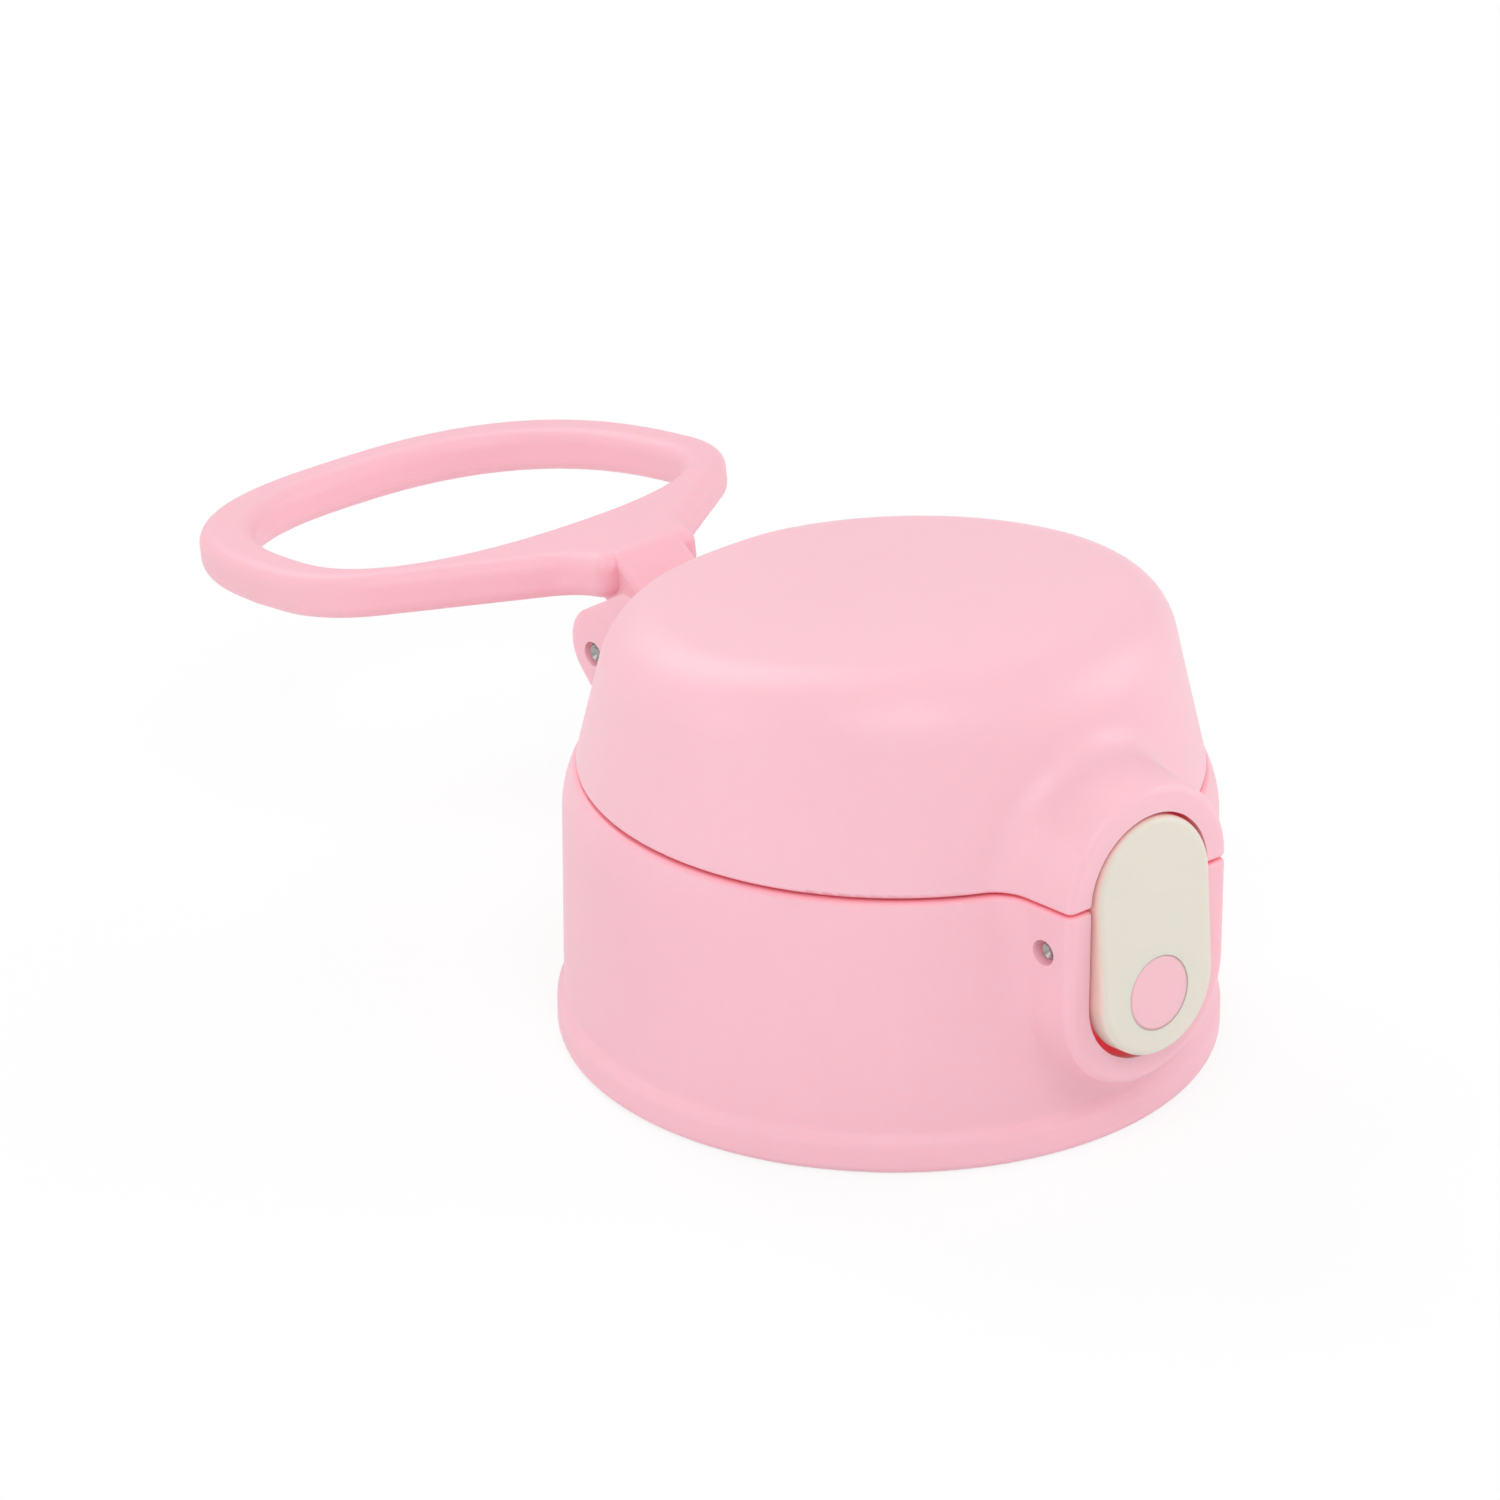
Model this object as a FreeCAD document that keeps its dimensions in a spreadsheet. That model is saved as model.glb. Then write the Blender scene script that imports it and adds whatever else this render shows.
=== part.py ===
import FreeCAD, Part
import os
import Sketcher
from FreeCAD import Placement, Rotation, Vector
from math import cos, radians, sin, sqrt, tan

# Straw bottle cap: a screw collar with a flip lid, a rocker release button and a carry loop.
# The origin is the centre of the rim that the collar stands on, +Z is up, the button faces -Y
# and the hinge is at +Y. All lengths are millimetres and all angles are degrees.

DIMENSIONS = [
    # collar
    ("collar_radius", 32.3, "outside of the collar wall"),
    ("collar_height", 28.2, "top of the collar"),
    ("collar_wall", 2.4, "thickness of the collar wall"),
    ("flange_reach", 0.7, "reach of the rim the cap stands on beyond that wall"),
    ("flange_height", 4.4, "height of that rim"),
    ("flange_slope", 1.2, "height over which it slopes in to the wall"),
    ("flange_rounding", 1.0, "rounding of the rim's edges"),
    ("shoulder_inset", 1.2, "how far the collar's top edge draws in"),
    ("shoulder_drop", 4.6, "height over which it draws in"),
    ("seam_gap", 0.3, "gap between collar and closed lid"),
    ("seam_rounding", 0.45, "rounding of both edges at that gap"),
    # button housing
    ("button_width", 14.4, "width of the rounded button"),
    ("button_rise", 11.7, "top of the button above its pin"),
    ("button_fall", 12.5, "foot of the button below its pin"),
    ("button_gap", 0.35, "gap round the button"),
    ("button_lower_gap", 0.6, "gap under the button, so it can rock"),
    ("button_pin_drop", 4.8, "button's pivot pin below the lid's foot"),
    ("button_lean", 4.5, "lean of the button, its foot further forward"),
    ("button_reach", 4.55, "front face of the button ahead of its pin"),
    ("button_plate", 2.4, "thickness of the button's plate"),
    ("button_pin_inset", 3.3, "pivot pin behind the housing's front"),
    ("housing_reach", 4.6, "front of the housing ahead of the collar wall"),
    ("housing_wall", 2.65, "lip round the button"),
    ("housing_blend", 3.3, "hollow blend between housing and wall"),
    ("housing_draft", 6.0, "draft of the housing's sides"),
    ("lip_rounding", 0.9, "rounding of the housing's outer lip"),
    ("recess_depth", 5.5, "depth of the recess behind the button"),
    ("hood_depth", 3.6, "depth of the recess in the lid's hood"),
    # pins
    ("pin_radius", 1.0, "steel pins"),
    ("pin_clearance", 0.05, "running clearance round a pin"),
    ("pin_sink", 0.65, "how deep each pin end sits in its hole"),
    ("pin_hole_radius", 1.3, "wider mouth of each pin hole"),
    ("pin_end", 0.2, "rounding of each pin end"),
    # lid
    ("lid_step", 1.3, "lid at the seam inside the collar wall"),
    ("lid_draft", 13.2, "inward slope of the lid's wall"),
    ("lid_rise", 19.3, "height of the soft ridge across the lid above its foot"),
    ("lid_ridge_front", 8.0, "ridge ahead of the axis"),
    ("lid_tilt", 7.4, "slope of the lid's top, down to the hinge"),
    ("lid_brow_radius", 60.0, "roundness of the lid's top ahead of the ridge"),
    ("lid_crown_radius", 420.0, "roundness of the lid's top from side to side"),
    ("lid_edge", 7.3, "rounding of the lid's top edge"),
    ("lid_wall", 3.0, "thickness of the lid's wall"),
    ("lid_roof", 8.2, "ceiling of the lid's inside below the ridge"),
    ("lid_rear_wall", 10.6, "flat behind the inside, ahead of the hinge pin"),
    ("hood_blend", 4.0, "hollow blend between hood and dome"),
    # latch
    ("latch_width", 7.6, "width of the hook on the button"),
    ("latch_ledge", 1.6, "thickness of the ledge that the hook holds"),
    ("latch_hold", 0.8, "how far the hook reaches over the ledge"),
    ("latch_gap", 0.3, "gap between hook and ledge"),
    ("hook_thickness", 2.0, "thickness of the hook"),
    # button details
    ("button_edge", 0.7, "rounding of the button's front edge"),
    ("barrel_radius", 1.85, "barrel round the button's pin"),
    ("dot_radius", 3.68, "round inlay in the button"),
    ("dot_drop", 6.2, "inlay below the pin"),
    ("dot_depth", 1.0, "thickness of the inlay"),
    ("dot_edge", 0.25, "rounding of the inlay's front edge"),
    ("button_spring_drop", 7.0, "coil spring below the pin"),
    ("button_spring_radius", 2.2, "outside of the coil spring"),
    ("button_spring_length", 4.5, "length of the coil spring"),
    ("spring_post", 1.4, "post on the button inside the coil spring"),
    ("spring_wire", 0.5, "wire of both springs"),
    ("spring_room", 0.1, "room inside the lid spring round its pin"),
    ("spring_leg", 2.2, "straight ends of the lid spring"),
    # hinge
    ("hinge_inset", 0.3, "hinge pin inside the collar wall"),
    ("hinge_rise", 3.5, "hinge pin above the lid's foot"),
    ("ear_outside", 11.5, "outer face of the lid's ears"),
    ("ear_thickness", 3.0, "thickness of each ear"),
    ("ear_radius", 4.1, "rounding of each ear"),
    ("ear_centre_front", 0.9, "that rounding's centre ahead of the pin"),
    ("ear_centre_rise", 1.0, "and above it"),
    ("ear_slope", 32.0, "slope of the ear's upper edge"),
    ("loop_room", 8.2, "flat on the lid's rear that clears the open loop, ahead of the pin"),
    ("knuckle_radius", 3.2, "hinge knuckles of the collar and the loop"),
    ("knuckle_gap", 0.3, "gap between knuckles"),
    ("loop_knuckle", 8.8, "width of the loop's knuckle"),
    ("spring_slot", 1.9, "room for the lid spring beside a knuckle"),
    # carry loop
    ("loop_droop", 8.8, "how far the loop droops"),
    ("loop_neck_start", 3.8, "start of the neck from the pin"),
    ("loop_neck_half", 6.7, "half the neck's width"),
    ("loop_flare_start", 7.5, "start of the flare from the pin"),
    ("loop_flare", 37.0, "slope of the flare"),
    ("loop_neck_blend", 6.0, "hollow blend between neck and flare"),
    ("loop_half_width", 28.0, "half the ring's width"),
    ("loop_widest", 30.0, "widest place of the ring from the pin"),
    ("loop_far", 58.6, "far edge of the ring from the pin"),
    ("loop_hole_near", 17.3, "near edge of the ring's hole from the pin"),
    ("loop_band_side", 5.0, "band at the sides"),
    ("loop_band_far", 5.4, "band at the far end"),
    ("loop_thickness", 4.6, "thickness of the ring"),
    ("loop_offset", 5.6, "ring above the pin"),
    ("loop_edge", 1.6, "rounding of the ring's edges"),
    ("loop_arm_edge", 0.8, "rounding of the neck's arm"),
    # inner parts
    ("skirt_wall", 3.2, "wall of the skirt that screws over the bottle's neck"),
    ("skirt_depth", 14.0, "depth of its bore below the gasket's seat"),
    ("seal_seat_step", 0.4, "how much narrower that seat is"),
    ("deck_drop", 5.2, "top of the deck below the collar's top"),
    ("deck_thickness", 2.4, "thickness of the deck"),
    ("skirt_foot", 0.0, "foot of the threaded skirt above the rim"),
    ("fit_clearance", 0.1, "clearance of pushed in mouldings"),
    ("gasket_thickness", 1.8, "thickness of the neck gasket"),
    ("gasket_width", 3.4, "width of the neck gasket"),
    ("spout_radius", 4.2, "outside of the silicone spout"),
    ("spout_tip_radius", 3.5, "outside of its tip"),
    ("spout_bore", 2.0, "bore through the spout"),
    ("spout_room", 2.6, "gap between its tip and the lid's ceiling"),
    ("nozzle_length", 6.0, "its lower nozzle below the deck"),
    ("nozzle_wall", 1.5, "wall of that nozzle"),
    ("spout_brim", 2.4, "reach of its two brims, above and below the deck"),
    ("spout_brim_thickness", 1.6, "thickness of the brims"),
    ("straw_radius", 3.0, "bore that holds the straw"),
    ("straw_depth", 8.0, "depth of that bore"),
    ("vent_back", 14.0, "air valve behind the axis"),
    ("vent_stem", 1.6, "stem of the air valve"),
    ("vent_head", 3.0, "heads of the air valve"),
    ("vent_head_thickness", 1.0, "thickness of its heads"),
    ("liner_wall", 1.3, "wall of the lid's liner"),
    ("seal_ring_room", 0.9, "room between spout and seal ring"),
    ("seal_ring_wall", 1.1, "wall of the seal ring"),
    ("seal_ring_depth", 2.6, "height of the seal ring"),
]

doc = FreeCAD.newDocument("straw_bottle_cap")
sheet = doc.addObject("Spreadsheet::Sheet", "Sizes")


class Size:
    """A length or angle that keeps its value and the expression that gives it."""

    def __init__(self, value, text):
        self.value = value
        self.text = text

    def __add__(self, other):
        other = as_size(other)
        return Size(self.value + other.value, f"({self.text} + {other.text})")

    def __sub__(self, other):
        other = as_size(other)
        return Size(self.value - other.value, f"({self.text} - {other.text})")

    def __mul__(self, other):
        other = as_size(other)
        return Size(self.value * other.value, f"({self.text} * {other.text})")

    def __truediv__(self, other):
        other = as_size(other)
        return Size(self.value / other.value, f"({self.text} / {other.text})")

    def __neg__(self):
        return Size(-self.value, f"(-1 * {self.text})")

    def sine(self):
        return Size(sin(radians(self.value)), f"sin({self.text})")

    def cosine(self):
        return Size(cos(radians(self.value)), f"cos({self.text})")

    def tangent(self):
        return Size(tan(radians(self.value)), f"tan({self.text})")

    def root(self):
        return Size(sqrt(self.value), f"sqrt({self.text})")


def as_size(number):
    if isinstance(number, Size):
        return number
    return Size(float(number), f"({number})" if number < 0 else str(number))


class Sizes:
    """Every named dimension, read from the sheet."""


def fill_sheet():
    sizes = Sizes()
    for row, (name, value, note) in enumerate(DIMENSIONS, start=1):
        sheet.set(f"A{row}", note)
        sheet.set(f"B{row}", str(value))
        sheet.setAlias(f"B{row}", name)
    doc.recompute()
    for name, value, note in DIMENSIONS:
        setattr(sizes, name, Size(float(sheet.get(name)), f"Sizes.{name}"))
    return sizes


s = fill_sheet()


# Sketches and features

def new_body(name):
    body = doc.addObject("PartDesign::Body", name)
    body.Label = name
    return body


def new_sketch(body, name, role, offset=None):
    """A sketch on one of the body's own origin planes, moved along the plane's normal."""
    sketch = body.newObject("Sketcher::SketchObject", name)
    plane = [f for f in body.Origin.OriginFeatures if f.Role == role][0]
    sketch.AttachmentSupport = [(plane, "")]
    sketch.MapMode = "FlatFace"
    if offset is not None:
        sketch.AttachmentOffset = Placement(Vector(0, 0, offset.value), Rotation())
        sketch.setExpression("AttachmentOffset.Base.z", offset.text)
    return sketch


def pin_down(sketch, kind, geometry, point, size):
    size = as_size(size)
    index = sketch.addConstraint(Sketcher.Constraint(kind, -1, 1, geometry, point, size.value))
    sketch.setExpression(f"Constraints[{index}]", size.text)


def set_radius(sketch, geometry, size):
    size = as_size(size)
    index = sketch.addConstraint(Sketcher.Constraint("Radius", geometry, size.value))
    sketch.setExpression(f"Constraints[{index}]", size.text)


def arc_between(start, end, radius, turn):
    """The shorter arc from start to end; turn is 1 for anticlockwise and -1 for clockwise."""
    chord = end - start
    half = chord.Length / 2
    rise = sqrt(max(radius * radius - half * half, 0.0))
    across = Vector(-chord.y, chord.x, 0).normalize() * turn
    centre = start + chord * 0.5 + across * rise
    middle = centre - across * radius
    return Part.Arc(start, middle, end)


def outline(sketch, start, *steps):
    """A closed outline: each step is the next corner (x, y), or (x, y, radius, turn) for an arc."""
    corners = [start] + [step[:2] for step in steps]
    spots = [Vector(as_size(x).value, as_size(y).value, 0) for x, y in corners]
    edges = []
    for index, step in enumerate(steps + (start,)):
        first = spots[index]
        last = spots[(index + 1) % len(spots)]
        if len(step) == 4:
            curve = arc_between(first, last, as_size(step[2]).value, step[3])
            edge = sketch.addGeometry(curve)
            turn = step[3]
            set_radius(sketch, edge, step[2])
        else:
            edge = sketch.addGeometry(Part.LineSegment(first, last))
            turn = 1
        edges.append((edge, 1 if turn > 0 else 2, 2 if turn > 0 else 1))
    for index, (edge, begin, end) in enumerate(edges):
        after, after_begin, after_end = edges[(index + 1) % len(edges)]
        sketch.addConstraint(Sketcher.Constraint("Coincident", edge, end, after, after_begin))
        pin_down(sketch, "DistanceX", edge, begin, corners[index][0])
        pin_down(sketch, "DistanceY", edge, begin, corners[index][1])


def circle(sketch, x, y, radius):
    x, y, radius = as_size(x), as_size(y), as_size(radius)
    centre = Vector(x.value, y.value, 0)
    edge = sketch.addGeometry(Part.Circle(centre, Vector(0, 0, 1), radius.value))
    pin_down(sketch, "DistanceX", edge, 3, x)
    pin_down(sketch, "DistanceY", edge, 3, y)
    set_radius(sketch, edge, radius)


def add_feature(body, kind, name, sketch, length=None, reverse=False, midplane=False, taper=None):
    feature = body.newObject(f"PartDesign::{kind}", name)
    feature.Profile = sketch
    feature.Reversed = reverse
    feature.Midplane = midplane
    if length is None:
        feature.Type = "ThroughAll"
    else:
        feature.Length = length.value
        feature.setExpression("Length", length.text)
    if taper is not None:
        feature.TaperAngle = taper.value
        feature.setExpression("TaperAngle", taper.text)
    doc.recompute()
    return feature


def pad(body, name, sketch, length, **options):
    return add_feature(body, "Pad", name, sketch, length, **options)


def pocket(body, name, sketch, length=None, **options):
    before = body.Shape.Volume
    feature = add_feature(body, "Pocket", name, sketch, length, **options)
    if feature.Shape.Volume > before - 0.01:
        raise RuntimeError(f"{name} cuts nothing")
    return feature


def revolve(body, name, sketch, kind="Revolution"):
    feature = body.newObject(f"PartDesign::{kind}", name)
    feature.Profile = sketch
    feature.ReferenceAxis = (sketch, ["V_Axis"])
    feature.Angle = 360
    doc.recompute()
    return feature


def round_edges(body, name, wanted, radius, kind="Fillet"):
    """Round the edges of the body's last shape for which wanted(edge) is true."""
    base = body.Tip
    picked = [f"Edge{i}" for i, edge in enumerate(base.Shape.Edges, start=1) if wanted(edge)]
    if not picked:
        raise RuntimeError(f"{name} finds no edge")
    feature = body.newObject(f"PartDesign::{kind}", name)
    feature.Base = (base, picked)
    name_of_size = "Radius" if kind == "Fillet" else "Size"
    setattr(feature, name_of_size, radius.value)
    feature.setExpression(name_of_size, radius.text)
    doc.recompute()
    return feature


def mirror_x(body, name, originals):
    """Repeat features on the other side of the body's YZ plane."""
    feature = body.newObject("PartDesign::Mirrored", name)
    plane = [f for f in body.Origin.OriginFeatures if f.Role == "YZ_Plane"][0]
    feature.MirrorPlane = (plane, [""])
    feature.Originals = originals
    body.Tip = feature
    doc.recompute()
    return feature


def middle_of(edge):
    return edge.valueAt((edge.FirstParameter + edge.LastParameter) / 2)


def is_ring(edge, radius, height):
    curve = edge.Curve
    if not isinstance(curve, Part.Circle):
        return False
    return abs(curve.Radius - radius.value) < 0.01 and abs(curve.Center.z - height.value) < 0.01


# Places that several pieces share

flange_radius = s.collar_radius + s.flange_reach
lid_floor = s.collar_height + s.seam_gap
lid_radius = s.collar_radius - s.lid_step
lid_ridge_height = lid_floor + s.lid_rise
lid_cavity_radius = lid_radius - s.lid_wall
lid_cavity_top = lid_ridge_height - s.lid_roof
hinge_back = s.collar_radius - s.hinge_inset
hinge_height = lid_floor + s.hinge_rise
housing_front = s.collar_radius + s.housing_reach
housing_half = s.button_width / 2 + s.button_gap + s.housing_wall
recess_half = s.button_width / 2 + s.button_gap
recess_back = housing_front - s.recess_depth
hood_back = housing_front - s.hood_depth
arch_centre = lid_floor
button_middle = lid_floor - s.button_pin_drop
button_pin_depth = housing_front - s.button_pin_inset
button_high = s.button_rise - s.button_width / 2
button_low = s.button_fall - s.button_width / 2
cradle_centre = button_middle - button_low - s.button_lower_gap + s.button_gap
ledge_top = lid_floor + s.latch_ledge
loop_half_knuckle = s.loop_knuckle / 2
knuckle_inside = loop_half_knuckle + s.knuckle_gap
ear_inside = s.ear_outside - s.ear_thickness
knuckle_outside = ear_inside - s.knuckle_gap
bore_radius = s.collar_radius - s.collar_wall
neck_radius = bore_radius - s.fit_clearance - s.skirt_wall
seal_seat_radius = neck_radius - s.seal_seat_step
deck_height = s.collar_height - s.deck_drop
deck_under = deck_height - s.deck_thickness
hook_foot = (ledge_top + s.latch_gap + 0.08 - button_middle) / s.button_lean.cosine()
hook_lead = button_pin_depth - hood_back + s.latch_hold - hook_foot * s.button_lean.sine()
hook_tip = hook_lead / s.button_lean.cosine()


def place(body, x, y, z, tilt=None):
    """Put a body at a point, tilted about the X axis."""
    body.Placement = Placement(
        Vector(x.value, y.value, z.value),
        Rotation(Vector(1, 0, 0), 0 if tilt is None else tilt.value),
    )
    for axis, size in zip("xyz", (x, y, z)):
        body.setExpression(f"Placement.Base.{axis}", size.text)
    if tilt is not None:
        body.setExpression("Placement.Rotation.Angle", tilt.text)
    doc.recompute()


def box_outline(sketch, left, low, right, high):
    outline(sketch, (left, low), (right, low), (right, high), (left, high))


def upright_outline(sketch, half, low_centre, top):
    """A slot with a round foot and a flat top, in x and z."""
    outline(
        sketch,
        (-half, top),
        (-half, low_centre),
        (0, low_centre - half, half, 1),
        (half, low_centre, half, 1),
        (half, top),
    )


def arch_outline(sketch, half, high_centre, foot):
    """A slot with a round head and a flat foot, in x and z."""
    outline(
        sketch,
        (half, foot),
        (half, high_centre),
        (0, high_centre + half, half, 1),
        (-half, high_centre, half, 1),
        (-half, foot),
    )


def stadium_outline(sketch, half, high, low):
    """A slot with a round head and a round foot, centred high above and low below the origin."""
    outline(
        sketch,
        (half, high),
        (0, high + half, half, 1),
        (-half, high, half, 1),
        (-half, -low),
        (0, -low - half, half, 1),
        (half, -low, half, 1),
    )


# Collar

def build_collar():
    body = new_body("collar_shell")
    top_radius = s.collar_radius - s.shoulder_inset
    wall_top = s.collar_height - s.shoulder_drop
    shoulder = (s.shoulder_drop * s.shoulder_drop + s.shoulder_inset * s.shoulder_inset)
    shoulder = shoulder / (s.shoulder_inset * 2)

    section = new_sketch(body, "collar_section", "XZ_Plane")
    outline(
        section,
        (0, 0),
        (flange_radius, 0),
        (flange_radius, s.flange_height - s.flange_slope),
        (s.collar_radius, s.flange_height),
        (s.collar_radius, wall_top),
        (top_radius, s.collar_height, shoulder, 1),
        (0, s.collar_height),
    )
    revolve(body, "collar_blank", section)

    front = new_sketch(body, "housing_front_outline", "XZ_Plane", housing_front)
    upright_outline(front, housing_half, cradle_centre, s.collar_height + 2)
    depth = housing_front - s.collar_radius * 0.75
    pad(body, "button_housing", front, depth, reverse=True, taper=s.housing_draft)
    above = new_sketch(body, "collar_top_outline", "XY_Plane", s.collar_height)
    circle(above, 0, 0, housing_front + 8)
    pocket(body, "collar_top", above, as_size(12), reverse=True)

    def meets_wall(edge):
        spot = middle_of(edge)
        reach = sqrt(spot.x ** 2 + spot.y ** 2)
        inside = abs(reach - s.collar_radius.value) < s.shoulder_inset.value + 0.3
        low = s.flange_height.value + 0.1 < spot.z < s.collar_height.value - 0.1
        beside = abs(spot.x) < housing_half.value + 2.5 and spot.y < -s.collar_radius.value * 0.8
        return inside and low and beside and edge.Length > 1.0 and not is_level_ring(edge)

    round_edges(body, "housing_hollow", meets_wall, s.housing_blend)
    round_edges(body, "housing_lip", lambda edge: on_front(edge, housing_front), s.lip_rounding)
    seam_edge_soft(body, s.collar_height)

    knuckle = new_sketch(body, "knuckle_side", "YZ_Plane", knuckle_inside)
    radius = s.knuckle_radius
    slant = radius * as_size(45).cosine()
    outline(
        knuckle,
        (hinge_back - radius, s.collar_height - 3),
        (hinge_back - radius, hinge_height),
        (hinge_back, hinge_height + radius, radius, -1),
        (hinge_back + radius, hinge_height, radius, -1),
        (hinge_back + slant, hinge_height - slant, radius, -1),
        (s.collar_radius - 1.5, hinge_height - slant - (hinge_back + slant - s.collar_radius + 1.5)),
        (hinge_back - radius, hinge_height - slant - (hinge_back + slant - s.collar_radius + 1.5)),
    )
    side = pad(body, "knuckle", knuckle, knuckle_outside - knuckle_inside)
    mirror_x(body, "knuckles", [side])

    bore = new_sketch(body, "bore_outline", "XY_Plane")
    circle(bore, 0, 0, bore_radius)
    pocket(body, "collar_bore", bore, hinge_height + s.knuckle_radius * 2, reverse=True)

    recess = new_sketch(body, "recess_outline", "XZ_Plane", housing_front + 1)
    upright_outline(recess, recess_half, cradle_centre, s.collar_height + 1)
    pocket(body, "button_recess", recess, housing_front + 1 - recess_back)

    pin_through(body, "button_pin", -button_pin_depth, button_middle, housing_half)
    hole = new_sketch(body, "hinge_bore", "YZ_Plane")
    circle(hole, hinge_back, hinge_height, s.pin_radius)
    pocket(body, "hinge_pin_hole", hole, s.ear_outside * 2, midplane=True)

    spring_slot = new_sketch(body, "spring_slot_side", "YZ_Plane", knuckle_outside - s.spring_slot)
    circle(spring_slot, hinge_back, hinge_height, s.knuckle_radius + 2)
    pocket(body, "lid_spring_room", spring_slot, s.spring_slot + 1, reverse=True)

    edge_soft(body, "flange_foot", flange_radius, as_size(0), s.flange_rounding)
    edge_soft(body, "flange_top", flange_radius, s.flange_height - s.flange_slope, s.flange_rounding)
    edge_soft(body, "flange_root", s.collar_radius, s.flange_height, s.flange_rounding)
    return body


def on_front(edge, reach):
    """True for the rounded outline of a front face, but not for its straight seam edge."""
    box = edge.BoundBox
    return abs(box.YMin + reach.value) < 0.01 and box.YLength < 0.01 and box.ZLength > 0.5


def is_level_ring(edge):
    box = edge.BoundBox
    return box.ZLength < 0.01 and isinstance(edge.Curve, Part.Circle)


def seam_edge_soft(body, height):
    """Round the whole edge that borders the seam, while the shape is still solid."""
    def borders_seam(edge):
        return edge.BoundBox.ZLength < 0.01 and abs(edge.BoundBox.ZMin - height.value) < 0.01

    round_edges(body, "seam_edge", borders_seam, s.seam_rounding)


def edge_soft(body, name, radius, height, size):
    round_edges(body, name, lambda edge: is_ring(edge, radius, height), size)


def pin_through(body, name, across, height, half_width):
    """A cross hole for a pin, with a wider mouth at each end."""
    hole = new_sketch(body, f"{name}_bore", "YZ_Plane")
    circle(hole, across, height, s.pin_radius)
    pocket(body, f"{name}_hole", hole, half_width * 3, midplane=True)
    mouth = new_sketch(body, f"{name}_mouth", "YZ_Plane", half_width - s.pin_sink)
    circle(mouth, across, height, s.pin_hole_radius)
    right = pocket(body, f"{name}_mouth_right", mouth, as_size(6), reverse=True)
    mirror_x(body, f"{name}_mouths", [right])


# Lid

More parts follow.
